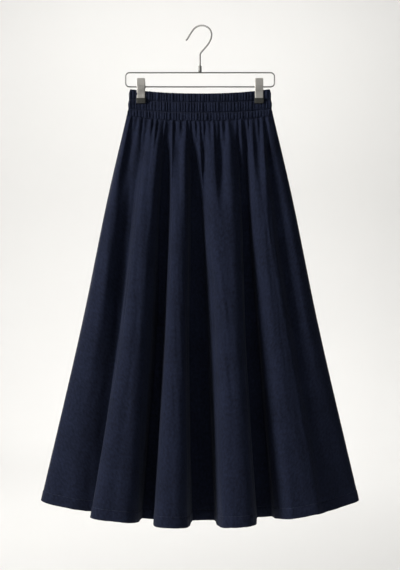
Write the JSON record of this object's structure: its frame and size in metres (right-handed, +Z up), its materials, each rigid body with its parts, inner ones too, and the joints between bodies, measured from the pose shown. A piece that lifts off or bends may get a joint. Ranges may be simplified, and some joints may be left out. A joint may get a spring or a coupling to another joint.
{
  "type": "maxi skirt on a clip hanger",
  "caption": "Long A-line skirt in dark navy cloth with a shirred elasticated waistband, gathers, soft folds and a turned hem, hung by clips from a wire hanger with a hook.",
  "frame": {"origin": "the point inside the top of the hook that rests on a rail", "axes": "+Z up, the front of the skirt towards -Y, +X to the right of someone who looks at the front"},
  "size_m": [0.73, 0.2623, 1.1362],
  "materials": {
    "cloth": "matte, fine weave",
    "hanger_wire": "polished",
    "clip_steel": "satin",
    "clip_rubber": "matte"
  },
  "bodies": {
    "root": {"front_panel": "cloth", "back_panel": "cloth", "waistband_front": "cloth", "waistband_back": "cloth", "hanger_frame": "hanger_wire", "hanger_hook": "hanger_wire", "hanger_ferrule": "hanger_wire", "clip_left_plate_front": "clip_steel", "clip_left_plate_back": "clip_steel", "clip_left_boot_front": "clip_rubber", "clip_left_boot_back": "clip_rubber", "clip_left_spring": "clip_steel", "clip_right_plate_front": "clip_steel", "clip_right_plate_back": "clip_steel", "clip_right_boot_front": "clip_rubber", "clip_right_boot_back": "clip_rubber", "clip_right_spring": "clip_steel"}
  },
  "joints": []
}
